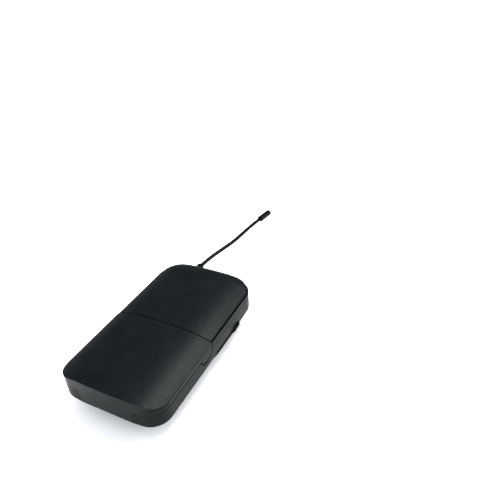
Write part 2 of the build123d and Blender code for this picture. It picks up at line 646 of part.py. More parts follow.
def build_antenna():
    """Rubber boot, collar, board contact, whip and end cap."""
    boot = rod_y(ANTENNA_X, TOP_Y + 1.1, BOOT_END_Y, PORT_Z, 3.1, 2.3)
    boot = boot + rod_y(ANTENNA_X, 52.2, TOP_Y + 1.2, PORT_Z, 2.6)
    boot = boot + rod_y(ANTENNA_X, 51.0, 53.1, PORT_Z, 3.5)
    boot = boot - Pos(ANTENNA_X, BOOT_END_Y, PORT_Z) * Sphere(ROOT_RADIUS + 0.1)
    keep("antenna_boot", boot)
    collar = rod_y(ANTENNA_X, TOP_Y + 0.03, TOP_Y + 1.0, PORT_Z, 3.7)
    collar = fillet(collar.edges().sort_by(Axis.Y)[-1], 0.5)
    keep("antenna_collar", collar - rod_y(ANTENNA_X, 54.0, 58.0, PORT_Z, 2.63))
    riser = box(ANTENNA_X - 1.2, ANTENNA_X + 1.2, 50.3, 50.7, PCB_TOP, PORT_Z + 1.0)
    foot = box(ANTENNA_X - 1.2, ANTENNA_X + 1.2, 43.0, 50.7, PCB_TOP, PCB_TOP + 0.4)
    keep("antenna_contact", riser + foot)
    points = [(x, y, PORT_Z) for x, y in WHIP_ROUTE]
    keep("antenna_whip", tube_along(points, smooth_radii(points), WHIP_RADIUS)
         + Pos(ANTENNA_X, BOOT_END_Y, PORT_Z) * Sphere(ROOT_RADIUS))
    start = Vector(*points[-1])
    plane = Plane(origin=start, z_dir=start - Vector(*points[-2]))
    cap = plane * Pos(0, 0, CAP_LENGTH / 2) * Cylinder(CAP_RADIUS, CAP_LENGTH)
    cap = fillet(cap.edges().sort_by(Axis.Y)[-1], 1.7)
    keep("antenna_cap", fillet(cap.edges().sort_by(Axis.Y)[0], 0.6))


# ---------------------------------------------------------------- wires

def smooth_radii(points):
    """Largest bend radius that fits at each inner point of a route."""
    radii = []
    for a, b, c in zip(points, points[1:], points[2:]):
        run_in = Vector(*b) - Vector(*a)
        run_out = Vector(*c) - Vector(*b)
        turn = math.radians(run_in.get_angle(run_out))
        radii.append(0.45 * min(run_in.length, run_out.length) / math.tan(turn / 2))
    return radii


def tube_along(points, radii, radius):
    """Round wire along straight runs joined by tangent arcs."""
    path = FilletPolyline(*points, radius=radii)
    start = Plane(origin=path @ 0, z_dir=path % 0)
    wire = sweep(start * Circle(radius), path=path)
    print("wire volume / (section x length):", round(wire.volume / (math.pi * radius**2 * path.length), 4))
    return wire


def build_belt_clip():
    """Belt clip: one springy wire, pivoted in the case's two sides."""
    left = [(-x, y, z) for x, y, z in reversed(CLIP_ROUTE)]
    points = CLIP_ROUTE + left
    radii = CLIP_RADII + CLIP_RADII[::-1]
    return keep("belt_clip", tube_along(points, radii[:len(points) - 2], WIRE_RADIUS))


# ---------------------------------------------------------------- fasteners

def screw(x, y, z, length, radius, head_radius, head):
    """Pan screw with its head at a level, pointing down."""
    shank = rod_z(x, y, z - length, z + 0.1, radius)
    top = rod_z(x, y, z, z + head, head_radius)
    recess = box(x - 0.8, x + 0.8, y - 0.2, y + 0.2, z + head - 0.5, z + head + 1)
    recess = recess + box(x - 0.2, x + 0.2, y - 0.8, y + 0.8, z + head - 0.5, z + head + 1)
    return shank + top - recess


def build_screws():
    """Case, board and deck screws, and the hinge pins."""
    case_screws = []
    for side in (-1, 1):
        x = side * CASE_POST[0]
        y = CASE_POST[1]
        shank = rod_z(x, y, 3.3, 15.2, 0.88)
        head = rod_z(x, y, 2.0, 3.38, 1.9)
        slot = box(x - 1.2, x + 1.2, y - 0.25, y + 0.25, 1.0, 2.6)
        case_screws.append(shank + head - slot)
    keep("case_screws", group(case_screws))
    places = ((-BOARD_POST[0], BOARD_POST[1]), BOARD_POST, (0.0, MIDDLE_POST_Y))
    board = [screw(x, y, PCB_TOP, 4.4, 0.73, 1.7, 1.0) for x, y in places]
    keep("board_screws", group(board))
    deck = [screw(side * DECK_POST[0], DECK_POST[1], DECK_TOP, 6.0, 0.73, 1.6, 0.9) for side in (-1, 1)]
    keep("deck_screws", group(deck))
    pins = [rod_x(side * 11.0, side * 19.9, HINGE_Y, HINGE_Z, PIN_RADIUS) for side in (-1, 1)]
    keep("hinge_pins", group(pins))


def main():
    """Build every piece and write one file for each."""
    build_rear_case()
    build_front_frame()
    build_front_cover()
    build_battery_door()
    build_latch_tabs()
    build_rear_label()
    build_battery_tray()
    build_cells()
    build_contacts()
    build_main_pcb()
    build_board_parts()
    build_controls()
    build_lamp_and_switch()
    build_jack()
    build_antenna()
    build_belt_clip()
    build_screws()
    os.makedirs("parts", exist_ok=True)
    for name, shape in PARTS.items():
        export_step(shape, f"parts/{name}.step")


main()
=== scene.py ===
"""Looks for the bodypack transmitter: materials, fine detail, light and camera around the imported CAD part."""

import math

import bmesh
import bpy
from mathutils import Matrix, Vector


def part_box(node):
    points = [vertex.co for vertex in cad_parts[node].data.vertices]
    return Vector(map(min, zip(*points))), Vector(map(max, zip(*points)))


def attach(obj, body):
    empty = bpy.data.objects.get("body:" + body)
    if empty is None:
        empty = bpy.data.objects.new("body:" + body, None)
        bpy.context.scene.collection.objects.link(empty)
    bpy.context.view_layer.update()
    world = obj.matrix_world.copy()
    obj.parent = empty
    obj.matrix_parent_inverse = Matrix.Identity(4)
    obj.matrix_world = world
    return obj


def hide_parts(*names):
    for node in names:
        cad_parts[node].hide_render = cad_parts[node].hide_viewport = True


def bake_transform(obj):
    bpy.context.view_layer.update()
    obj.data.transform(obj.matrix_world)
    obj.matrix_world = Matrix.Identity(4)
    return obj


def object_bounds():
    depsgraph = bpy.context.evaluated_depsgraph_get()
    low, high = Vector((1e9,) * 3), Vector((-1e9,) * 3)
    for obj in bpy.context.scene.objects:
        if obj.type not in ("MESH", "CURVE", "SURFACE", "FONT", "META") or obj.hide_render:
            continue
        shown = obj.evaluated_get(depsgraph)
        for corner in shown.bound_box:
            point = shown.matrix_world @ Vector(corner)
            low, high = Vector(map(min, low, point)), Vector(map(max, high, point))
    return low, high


MM = 0.001

# Camera: place in metres, angles in degrees, lens and sensor in millimetres
CAMERA_PLACE = Vector((139.54, -162.45, 205.27)) * MM
CAMERA_AZIMUTH = 26.95
CAMERA_ELEVATION = 33.82
CAMERA_ROLL = -2.77
CAMERA_LENS = 34.8
CAMERA_SENSOR = 36.0
CAMERA_CLIP_START = 0.01

# Floor: a disc just under the part, in metres, with rings of points at shares of its radius
FLOOR_GAP = 0.2 * MM
FLOOR_RADIUS = 7.0
FLOOR_RINGS = (0.15, 0.4, 1.0)
FLOOR_SIDES = 64

# Surroundings: brightness for the light they throw, and for their mirror image in glossy surfaces
TENT_COLOUR = (0.93, 0.965, 1.0, 1.0)
TENT_LIGHT = 1.7
TENT_GLOSS = 0.16

# Lights: place, target and size in metres, power in watts
BACK_FILL = {"place": (0.5, 0.9, 1.5), "target": (0.0, 0.0, 0.0), "size": (1.6, 1.6), "power": 14.0}
STRIP_BOX = {"place": (0.1, 0.43, 0.9), "target": (0.01, -0.02, 0.015), "size": (0.42, 0.5), "power": 12.5}
EDGE_BOX = {"place": (0.72, 0.68, 0.41), "target": (0.03, 0.02, 0.015), "size": (0.3, 0.4), "power": 3.0}

# The Mix node's colour sockets, which share their names with its other kinds
MIX_COLOUR_INPUTS = (6, 7)
MIX_COLOUR_OUTPUT = 2

# Range that most noise values keep to
NOISE_LOW = 0.3
NOISE_HIGH = 0.7

# Rounded edges: samples of the bevel, and its agreement with the true normal on flat and on worn surface
EDGE_SAMPLES = 4
EDGE_FLAT = 0.995
EDGE_WORN = 0.8

# Painted shade in narrow gaps: how far a crevice looks for its other wall, and the openness at which the
# painted shade starts and is full
CREVICE_REACH = 1.6 * MM
CREVICE_OPEN = 0.86
CREVICE_SHUT = 0.6
CREVICE_SAMPLES = 8
CREVICE_SHADE_COLOUR = (0.0, 0.0, 0.0)

# Moulded plastic: sizes of its mottling and speckle in mm, and how far its worn edges are lightened
MOTTLING_SIZE = 9
SPECKLE_SIZE = 1.4
WORN_GAIN = 2.2
WORN_LIFT = 0.01

# Second colour of rubber, clear plastic and lit segments, as a share of the first
RUBBER_SMEAR_GAIN = 1.8
CLEAR_FLOW_GAIN = 0.75
LIT_DIM_GAIN = 0.7

# Circuit board tracks, in mm
TRACK_LENGTH = 4.6
TRACK_PITCH = 1.1
TRACK_GAP = 0.16

# Cells, in mm from the middle of the cell towards its plus end
CELL_MINUS_END = -24.6
CELL_BAND_START = 9.9
CELL_PLUS_END = 23.5
CELL_COLOUR_EDGE = 0.1

# Label's printed border, in mm
LABEL_BORDER = 1.0
LABEL_BORDER_EDGE = 0.05

# Antenna whip, in mm, with the angles of the rings on the ball at its root in degrees
WHIP_ROUTE = [(-15.5, 66.0), (-14.4, 78.0), (-11.3, 90.5), (-8.3, 104.0),
              (-7.0, 118.0), (-5.8, 130.0), (-4.0, 139.6)]
WHIP_HEIGHT = 10.4
WHIP_RADIUS = 1.4
WHIP_ROOT_RADIUS = 1.65
WHIP_SIDES = 24
WHIP_STEPS_PER_SPAN = 16
BALL_RINGS = 8
BALL_FIRST_ANGLE = 12
BALL_ANGLE_STEP = 20

# Gain dial, in mm, and its profile as shares of its radius, its height and its flutes' depth
DIAL_FLUTES = 28
DIAL_FLUTE_DEPTH = 0.22
DIAL_POINTS_PER_FLUTE = 6
DIAL_PROFILE = [(0.97, 0.0, 0.4), (1.0, 0.08, 1.0), (1.0, 0.8, 1.0), (0.97, 0.93, 0.7), (0.9, 1.0, 0.2),
                (0.62, 1.0, 0.0), (0.58, 0.94, 0.0), (0.3, 0.94, 0.0), (0.04, 0.94, 0.0)]

# Printed bars, in mm: how deep they start, and how far their top edge is drawn in and down
BAR_SUNK = 0.02
BAR_EDGE_IN = 0.03
BAR_EDGE_DOWN = 0.02

# Scale round the dial, in mm, with its angles in degrees
TICK_COUNT = 11
TICK_LONG_EVERY = 5
TICK_FIRST_ANGLE = -45
TICK_ANGLE_STEP = 27
TICK_DISTANCE = 0.9
TICK_LONG_HALF = 0.55
TICK_SHORT_HALF = 0.35
TICK_HALF_WIDTH = 0.11
TICK_RAISED = 0.05

# Display digits: shares of the display's sides, shares of half a digit's sides, and lengths in mm
DIGIT_HALF_WIDTH = 0.13
DIGIT_HALF_HEIGHT = 0.17
DIGIT_OFFSET = 0.22
LEVEL_SEGMENT_SHARE = 0.8
UPRIGHT_SEGMENT_SHARE = 0.78
UPRIGHT_SEGMENT_OFFSET = 1.15
SEGMENT_HALF_WIDTH = 0.16
SEGMENT_RAISED = 0.06

# Noise drawn out along an axis of the part, by scaling that axis down
SMEARED_ALONG_Y = (1.0, 0.15, 1.0)
ROLLED_ALONG_Y = (1.0, 0.1, 1.0)
TURNED_ALONG_Y = (1.0, 0.08, 1.0)
ROLLED_ALONG_Z = (1.0, 1.0, 0.1)

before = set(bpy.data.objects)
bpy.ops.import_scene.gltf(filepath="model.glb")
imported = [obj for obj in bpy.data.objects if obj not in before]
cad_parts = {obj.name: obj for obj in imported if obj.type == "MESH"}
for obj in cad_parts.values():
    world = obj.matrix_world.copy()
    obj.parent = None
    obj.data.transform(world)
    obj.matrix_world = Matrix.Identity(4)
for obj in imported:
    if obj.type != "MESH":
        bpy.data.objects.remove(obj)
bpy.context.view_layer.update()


# ---------------------------------------------------------------- node helpers

def new_material(name):
    """A fresh node material, its tree and its shader."""
    material = bpy.data.materials.new(name)
    material.use_nodes = True
    return material, material.node_tree, material.node_tree.nodes["Principled BSDF"]


def add(tree, kind, **settings):
    """A node of that kind with its settings made."""
    node = tree.nodes.new("ShaderNode" + kind)
    for key, value in settings.items():
        setattr(node, key, value)
    return node


def plug(tree, socket, value):
    """Links another node's output to a socket, or sets the socket to a plain value."""
    if isinstance(value, bpy.types.NodeSocket):
        tree.links.new(value, socket)
    else:
        socket.default_value = value


def feed(tree, node, **values):
    """Sets or links a node's inputs by name."""
    for key, value in values.items():
        plug(tree, node.inputs[key.replace("_", " ")], value)


def position(tree, stretch=(1.0, 1.0, 1.0)):
    """The point on the surface at rest, in metres."""
    coords = add(tree, "TexCoord")
    scaled = add(tree, "Mapping")
    feed(tree, scaled, Vector=coords.outputs["Object"], Scale=stretch)
    return scaled.outputs["Vector"]


def noise(tree, size, detail=3.0, stretch=(1.0, 1.0, 1.0)):
    """Noise whose features are about size metres across."""
    node = add(tree, "TexNoise")
    feed(tree, node, Vector=position(tree, stretch), Scale=1.0 / size, Detail=detail)
    return node.outputs["Fac"]


def spread(tree, value, low, high, to_low, to_high):
    """value from low..high taken to to_low..to_high."""
    node = add(tree, "MapRange")
    feed(tree, node, Value=value, From_Min=low, From_Max=high, To_Min=to_low, To_Max=to_high)
    return node.outputs["Result"]


def vary(tree, value, to_low, to_high):
    """Noise taken to to_low..to_high."""
    return spread(tree, value, NOISE_LOW, NOISE_HIGH, to_low, to_high)


def mix_colour(tree, factor, first, second):
    """first where factor is 0, second where it is 1."""
    node = add(tree, "Mix", data_type="RGBA")
    plug(tree, node.inputs["Factor"], factor)
    for index, colour in zip(MIX_COLOUR_INPUTS, (first, second)):
        linked = isinstance(colour, bpy.types.NodeSocket)
        plug(tree, node.inputs[index], colour if linked else (*colour, 1.0))
    return node.outputs[MIX_COLOUR_OUTPUT]


def scale_colour(colour, gain, lift=0.0):
    """A colour with gain times the strength, plus lift, up to full white."""
    return tuple(min(1.0, channel * gain + lift) for channel in colour)


def arithmetic(tree, operation, first, second):
    """first and second put through one Math operation."""
    node = add(tree, "Math", operation=operation)
    plug(tree, node.inputs[0], first)
    plug(tree, node.inputs[1], second)
    return node.outputs["Value"]


def split_position(tree):
    """The X, Y and Z of the point on the surface at rest, in metres."""
    node = add(tree, "SeparateXYZ")
    feed(tree, node, Vector=position(tree))
    return node.outputs


def soft_edges(tree, radius):
    """The surface normal with its edges rounded to that radius."""
    node = add(tree, "Bevel", samples=EDGE_SAMPLES)
    feed(tree, node, Radius=radius)
    return node.outputs["Normal"]


def edge_mask(tree, normal):
    """1 along rounded edges and 0 on open surface."""
    geometry = add(tree, "NewGeometry")
    dot = add(tree, "VectorMath", operation="DOT_PRODUCT")
    plug(tree, dot.inputs[0], normal)
    plug(tree, dot.inputs[1], geometry.outputs["Normal"])
    return spread(tree, dot.outputs["Value"], EDGE_FLAT, EDGE_WORN, 0.0, 1.0)


def painted_gap_shade(tree):
    """Painted shade mask: 1 deep in narrow gaps and grooves, 0 on open surface."""
    shade = add(tree, "AmbientOcclusion", samples=CREVICE_SAMPLES)
    feed(tree, shade, Distance=CREVICE_REACH)
    return spread(tree, shade.outputs["AO"], CREVICE_OPEN, CREVICE_SHUT, 0.0, 1.0)


def bump(tree, height, depth, normal):
    """A bump of that depth in metres over a normal."""
    node = add(tree, "Bump")
    feed(tree, node, Height=height, Distance=depth, Strength=1.0, Normal=normal)
    return node.outputs["Normal"]


# ---------------------------------------------------------------- materials

def moulded(name, dark, light, rough, grain, depth, edge_radius=0.12, wear=0.35, specular=0.5):
    """Moulded plastic: a fine cast texture, slight mottling, rubbed edges, and painted shade that blackens
    narrow gaps.
    """
    material, tree, shader = new_material(name)
    rounded = soft_edges(tree, radius=edge_radius * MM)
    mottling = spread(tree, noise(tree, size=MOTTLING_SIZE * MM), 0.35, 0.65, 0.0, 1.0)
    base = mix_colour(tree, mottling, dark, light)
    rubbed = arithmetic(tree, "MULTIPLY", edge_mask(tree, rounded), wear)
    open_colour = mix_colour(tree, rubbed, base, scale_colour(light, WORN_GAIN, WORN_LIFT))
    # Painted shade: deep in narrow gaps the colour goes to black and the roughness goes up to full
    gap_shade = painted_gap_shade(tree)
    feed(tree, shader, Base_Color=mix_colour(tree, gap_shade, open_colour, CREVICE_SHADE_COLOUR))
    speckle = vary(tree, noise(tree, size=SPECKLE_SIZE * MM, detail=4.0), *rough)
    feed(tree, shader, Roughness=arithmetic(tree, "MAXIMUM", speckle, gap_shade), Specular_IOR_Level=specular)
    fine = noise(tree, size=grain * MM, detail=2.0)
    feed(tree, shader, Normal=bump(tree, fine, depth * MM, rounded))
    return material


def rubber(name, colour, rough, coat, specular):
    """Black rubber: faint lengthways drawing marks under a slightly glossy skin."""
    material, tree, shader = new_material(name)
    rounded = soft_edges(tree, radius=0.08 * MM)
    smears = noise(tree, size=1.2 * MM, stretch=SMEARED_ALONG_Y)
    lighter = scale_colour(colour, RUBBER_SMEAR_GAIN)
    feed(tree, shader, Base_Color=mix_colour(tree, smears, colour, lighter))
    feed(tree, shader, Roughness=vary(tree, smears, rough - 0.06, rough + 0.08))
    feed(tree, shader, Coat_Weight=coat, Coat_Roughness=0.25, Specular_IOR_Level=specular)
    feed(tree, shader, Normal=bump(tree, noise(tree, size=0.25 * MM), 0.004 * MM, rounded))
    return material


def metal(name, dark, light, rough, grain=(1.0, 1.0, 1.0), scratch=0.003):
    """Plated or rolled metal: drawing marks along one way, and small stains."""
    material, tree, shader = new_material(name)
    rounded = soft_edges(tree, radius=0.06 * MM)
    marks = noise(tree, size=0.35 * MM, detail=4.0, stretch=grain)
    stain = spread(tree, noise(tree, size=3.0 * MM), 0.4, 0.7, 0.0, 1.0)
    feed(tree, shader, Base_Color=mix_colour(tree, stain, light, dark), Metallic=1.0)
    feed(tree, shader, Roughness=vary(tree, marks, rough - 0.08, rough + 0.12))
    feed(tree, shader, Normal=bump(tree, marks, scratch * MM, rounded))
    return material


def clear_plastic(name, tint, rough):
    """Clear or smoked plastic with faint flow marks."""
    material, tree, shader = new_material(name)
    rounded = soft_edges(tree, radius=0.05 * MM)
    flow = noise(tree, size=2.0 * MM)
    deeper = scale_colour(tint, CLEAR_FLOW_GAIN)
    feed(tree, shader, Base_Color=mix_colour(tree, flow, tint, deeper))
    feed(tree, shader, Roughness=vary(tree, flow, rough, rough + 0.08))
    feed(tree, shader, Transmission_Weight=0.8, IOR=1.5)
    feed(tree, shader, Normal=bump(tree, noise(tree, size=0.8 * MM), 0.004 * MM, rounded))
    return material


def circuit_board(name):
    """Green solder mask over rows of tracks and a copper pour."""
    material, tree, shader = new_material(name)
    rounded = soft_edges(tree, radius=0.05 * MM)
    tracks = add(tree, "TexBrick", offset=0.5, squash=1.0)
    feed(tree, tracks, Vector=position(tree), Scale=1.0, Mortar_Size=TRACK_GAP * MM, Mortar_Smooth=0.2)
    feed(tree, tracks, Brick_Width=TRACK_LENGTH * MM, Row_Height=TRACK_PITCH * MM)
    pour = spread(tree, noise(tree, size=7 * MM, detail=0.0), 0.48, 0.5, 0.0, 1.0)
    masked = arithmetic(tree, "MULTIPLY", tracks.outputs["Fac"], pour)
    ground = mix_colour(tree, noise(tree, size=4 * MM), (0.008, 0.075, 0.03), (0.012, 0.095, 0.038))
    feed(tree, shader, Base_Color=mix_colour(tree, masked, ground, (0.03, 0.19, 0.08)))
    feed(tree, shader, Roughness=vary(tree, noise(tree, size=1.0 * MM), 0.22, 0.36))
    feed(tree, shader, Coat_Weight=0.3, Coat_Roughness=0.15)
    feed(tree, shader, Normal=bump(tree, masked, 0.03 * MM, rounded))
    return material


def cell_wrap(name, centre_x, way):
    """A wrapped cell: steel ends, a dark body, and a copper-coloured band towards the plus end."""
    material, tree, shader = new_material(name)
    rounded = soft_edges(tree, radius=0.1 * MM)
    from_centre = arithmetic(tree, "SUBTRACT", split_position(tree)["X"], centre_x * MM)
    along = arithmetic(tree, "MULTIPLY", from_centre, way)

    def beyond(start, before, after):
        """before up to start mm along the cell, and after past it."""
        return spread(tree, along, start * MM, (start + CELL_COLOUR_EDGE) * MM, before, after)

    steel = arithmetic(tree, "MAXIMUM", beyond(CELL_MINUS_END, 1.0, 0.0), beyond(CELL_PLUS_END, 0.0, 1.0))
    band = beyond(CELL_BAND_START, 0.0, 1.0)
    body = mix_colour(tree, noise(tree, size=5 * MM), (0.012, 0.014, 0.02), (0.02, 0.022, 0.03))
    copper = mix_colour(tree, noise(tree, size=5 * MM), (0.5, 0.27, 0.1), (0.42, 0.22, 0.08))
    wrap = mix_colour(tree, band, body, copper)
    foil = arithmetic(tree, "MULTIPLY", band, 0.9)
    feed(tree, shader, Base_Color=mix_colour(tree, steel, wrap, (0.7, 0.69, 0.66)))
    feed(tree, shader, Metallic=arithmetic(tree, "MAXIMUM", steel, foil))
    feed(tree, shader, Roughness=vary(tree, noise(tree, size=4.0 * MM, detail=1.0), 0.24, 0.3))
    feed(tree, shader, Coat_Weight=0.4, Coat_Roughness=0.12)
    feed(tree, shader, Normal=bump(tree, noise(tree, size=3.0 * MM, detail=1.0), 0.003 * MM, rounded))
    return material


def label_film(name, node):
    """Matte grey label film with a plain printed border."""
    material, tree, shader = new_material(name)
    rounded = soft_edges(tree, radius=0.05 * MM)
    low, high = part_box(node)
    point = split_position(tree)
    inside = 1.0
    for axis, index in (("X", 0), ("Y", 1)):
        for edge, way in ((low[index], 1.0), (high[index], -1.0)):
            depth = arithmetic(tree, "MULTIPLY", arithmetic(tree, "SUBTRACT", point[axis], edge), way)
            border_end = (LABEL_BORDER + LABEL_BORDER_EDGE) * MM
            clear = spread(tree, depth, LABEL_BORDER * MM, border_end, 0.0, 1.0)
            inside = arithmetic(tree, "MULTIPLY", clear, inside)
    fibres = noise(tree, size=0.6 * MM, detail=5.0)
    field = mix_colour(tree, fibres, (0.36, 0.37, 0.37), (0.44, 0.45, 0.45))
    feed(tree, shader, Base_Color=mix_colour(tree, inside, (0.05, 0.052, 0.055), field))
    feed(tree, shader, Roughness=vary(tree, fibres, 0.42, 0.55))
    feed(tree, shader, Normal=bump(tree, fibres, 0.006 * MM, rounded))
    return material


def lit(name, colour, strength):
    """A display segment that glows a little unevenly."""
    material, tree, shader = new_material(name)
    dimmer = scale_colour(colour, LIT_DIM_GAIN)
    uneven = mix_colour(tree, noise(tree, size=0.8 * MM), colour, dimmer)
    feed(tree, shader, Base_Color=uneven, Emission_Color=uneven, Emission_Strength=strength)
    feed(tree, shader, Roughness=vary(tree, noise(tree, size=0.5 * MM), 0.35, 0.5))
    return material


def make_materials():
    """Every material of the model by its name."""
    materials = {}

    def make(name, kind, **look):
        """Keeps a material of that kind under its name."""
        materials[name] = kind(name, **look)

    make("front_plastic", moulded, dark=(0.0028, 0.0042, 0.0047), light=(0.0038, 0.0057, 0.0063),
         rough=(0.29, 0.37), grain=0.16, depth=0.006, wear=0.15, specular=0.055)
    make("case_plastic", moulded, dark=(0.0028, 0.0042, 0.0045), light=(0.0038, 0.0056, 0.006),
         rough=(0.36, 0.46), grain=0.22, depth=0.009, wear=0.15, specular=0.045)
    make("inner_plastic", moulded, dark=(0.008, 0.0085, 0.009), light=(0.012, 0.0125, 0.013),
         rough=(0.4, 0.55), grain=0.3, depth=0.01, edge_radius=0.1)
    make("button_plastic", moulded, dark=(0.055, 0.058, 0.061), light=(0.075, 0.079, 0.083),
         rough=(0.38, 0.5), grain=0.2, depth=0.008, edge_radius=0.15)
    make("chip_black", moulded, dark=(0.012, 0.012, 0.013), light=(0.02, 0.02, 0.021),
         rough=(0.45, 0.6), grain=0.12, depth=0.006, edge_radius=0.05, wear=0.6)
    make("clip_wire", rubber, colour=(0.0006, 0.0006, 0.0007), rough=0.4, coat=0.02, specular=0.04)
    make("antenna_rubber", rubber, colour=(0.0006, 0.0006, 0.0007), rough=0.32, coat=0.03, specular=0.06)
    make("lens_clear", clear_plastic, tint=(0.5, 0.85, 0.5), rough=0.12)
    make("window_clear", clear_plastic, tint=(0.32, 0.17, 0.17), rough=0.03)
    make("contact_nickel", metal, dark=(0.5, 0.48, 0.44), light=(0.72, 0.71, 0.68),
         rough=0.26, grain=ROLLED_ALONG_Z)
    make("jack_metal", metal, dark=(0.1, 0.1, 0.105), light=(0.17, 0.17, 0.18),
         rough=0.3, grain=TURNED_ALONG_Y)
    make("pin_brass", metal, dark=(0.72, 0.5, 0.2), light=(0.85, 0.64, 0.3),
         rough=0.2, grain=TURNED_ALONG_Y)
    make("screw_steel", metal, dark=(0.2, 0.2, 0.2), light=(0.36, 0.36, 0.37),
         rough=0.32, scratch=0.005)
    make("shield_tin", metal, dark=(0.5, 0.5, 0.47), light=(0.68, 0.68, 0.66),
         rough=0.3, grain=ROLLED_ALONG_Y)
    make("board_green", circuit_board)
    make("cell_lower", cell_wrap, centre_x=0.8, way=1.0)
    make("cell_upper", cell_wrap, centre_x=-0.8, way=-1.0)
    make("label_paper", label_film, node="rear_label")
    make("segment_red", lit, colour=(0.75, 0.03, 0.015), strength=3.0)
    make("print_white", moulded, dark=(0.42, 0.43, 0.43), light=(0.5, 0.51, 0.51),
         rough=(0.5, 0.6), grain=0.2, depth=0.003)
    return materials


def dress_nodes(materials):
    """Gives each CAD node the material of its slot, or one of its own."""
    own = {"battery_lower": "cell_lower", "battery_upper": "cell_upper"}
    for name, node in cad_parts.items():
        for slot in node.material_slots:
            slot.material = materials[own.get(name, slot.material.name)]


# ---------------------------------------------------------------- mesh pieces

def new_piece(name, mesh, material, body):
    """Puts a mesh in the scene as a smooth piece, riding on a body unless it is to be blended."""
    piece = bpy.data.objects.new(name, mesh)
    bpy.context.scene.collection.objects.link(piece)
    mesh.materials.append(material)
    mesh.shade_smooth()
    if body:
        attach(piece, body)
    return piece


def finish_mesh(name, work):
    """A mesh from a bmesh, with its faces turned outwards."""
    bmesh.ops.recalc_face_normals(work, faces=work.faces)
    mesh = bpy.data.meshes.new(name)
    work.to_mesh(mesh)
    work.free()
    return mesh


def skin_rings(work, rings):
    """Closed faces over rings of equal point count, capped at both ends."""
    rows = [[work.verts.new(point) for point in ring] for ring in rings]
    count = len(rows[0])
    for row, above in zip(rows, rows[1:]):
        for index in range(count):
            after = (index + 1) % count
            work.faces.new((row[index], row[after], above[after], above[index]))
    work.faces.new(rows[0])
    work.faces.new(rows[-1])


def loft(name, rings):
    """A mesh that is one closed skin over its rings."""
    work = bmesh.new()
    skin_rings(work, rings)
    return finish_mesh(name, work)


def turn_angles(count):
    """count angles spread evenly over a full turn."""
    return [2 * math.pi * step / count for step in range(count)]


def whip_line():
    """Points along the middle of the whip, on one smooth curve."""
    curve = bpy.data.curves.new("whip_line", "CURVE")
    curve.dimensions = "3D"
    spline = curve.splines.new("NURBS")
    spline.points.add(len(WHIP_ROUTE) - 1)
    for point, (x, y) in zip(spline.points, WHIP_ROUTE):
        point.co = (x * MM, y * MM, WHIP_HEIGHT * MM, 1.0)
    spline.order_u = 3
    spline.use_endpoint_u = True
    spline.resolution_u = WHIP_STEPS_PER_SPAN
    guide = bpy.data.objects.new("whip_guide", curve)
    line = [vertex.co.copy() for vertex in bpy.data.meshes.new_from_object(guide).vertices]
    bpy.data.objects.remove(guide)
    return line


def whip_sections(line):
    """The middle and radius in mm of each ring of the whip: a ball at its root, then a round rod."""
    sections = []
    for step in range(BALL_RINGS):
        angle = math.radians(BALL_FIRST_ANGLE + step * BALL_ANGLE_STEP)
        radius = WHIP_ROOT_RADIUS * math.sin(angle)
        if angle > math.pi / 2 and radius < WHIP_RADIUS:
            break
        behind = Vector((0, -WHIP_ROOT_RADIUS * math.cos(angle), 0))
        sections.append((line[0] + behind * MM, radius))
    rod = [point for point in line if (point - line[0]).length > WHIP_ROOT_RADIUS * MM]
    return sections + [(point, WHIP_RADIUS) for point in rod]


def make_whip(materials):
    """The antenna's rod with a ball at its root, bending out of the boot."""
    sections = whip_sections(whip_line())
    points = [place for place, _ in sections]
    upward = Vector((0, 0, 1))
    rings = []
    for index, (place, radius) in enumerate(sections):
        ahead = points[min(index + 1, len(points) - 1)] - points[max(index - 1, 0)]
        side = ahead.cross(upward).normalized()
        rings.append([place + (side * math.cos(t) + upward * math.sin(t)) * radius * MM
                      for t in turn_angles(WHIP_SIDES)])
    mesh = loft("antenna_whip_skin", rings)
    piece = new_piece("antenna_whip_skin", mesh, materials["antenna_rubber"], None)
    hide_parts("antenna_whip")
    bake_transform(piece)


def make_dial(materials):
    """The gain dial: a fluted edge with a rounded rim, and a shallow dish in its top."""
    low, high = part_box("gain_dial")
    centre = (low + high) / 2
    radius = (high.x - low.x) / 2 / MM
    height = (high.z - low.z) / MM
    foot = Vector((centre.x, centre.y, low.z))
    rings = []
    for share, up, flute in DIAL_PROFILE:
        ring = []
        for t in turn_angles(DIAL_FLUTES * DIAL_POINTS_PER_FLUTE):
            groove = DIAL_FLUTE_DEPTH * flute * (0.5 - 0.5 * math.cos(DIAL_FLUTES * t))
            reach = radius * share - groove
            ring.append(Vector((reach * math.cos(t), reach * math.sin(t), up * height)) * MM + foot)
        rings.append(ring)
    mesh = loft("gain_dial_knob", rings)
    piece = new_piece("gain_dial_knob", mesh, materials["button_plastic"], "dial")
    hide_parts("gain_dial")


def bar(work, centre, along, half_length, half_width, low, high):
    """A small raised bar with its top edge drawn in, from low to high."""
    across = Vector((-along.y, along.x, 0))
    rings = []
    for inset, up in ((0.0, low), (0.0, high - BAR_EDGE_DOWN * MM), (BAR_EDGE_IN * MM, high)):
        reach, width = half_length - inset, half_width - inset
        middle = Vector((centre.x, centre.y, up))
        corners = [along * s * reach + across * t * width for s, t in ((-1, -1), (1, -1), (1, 1), (-1, 1))]
        rings.append([middle + corner for corner in corners])
    skin_rings(work, rings)


def make_dial_scale(materials):
    """Raised ticks round the dial, the middle and end ones longer."""
    low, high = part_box("gain_dial")
    centre = (low + high) / 2
    distance = (high.x - low.x) / 2 + TICK_DISTANCE * MM
    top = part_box("control_deck")[1].z
    work = bmesh.new()
    for step in range(TICK_COUNT):
        angle = math.radians(TICK_FIRST_ANGLE + step * TICK_ANGLE_STEP)
        along = Vector((math.cos(angle), math.sin(angle), 0))
        half = TICK_LONG_HALF if step % TICK_LONG_EVERY == 0 else TICK_SHORT_HALF
        bar(work, centre + along * distance, along, half * MM, TICK_HALF_WIDTH * MM,
            top - BAR_SUNK * MM, top + TICK_RAISED * MM)
    new_piece("dial_scale", finish_mesh("dial_scale", work), materials["print_white"], "root")


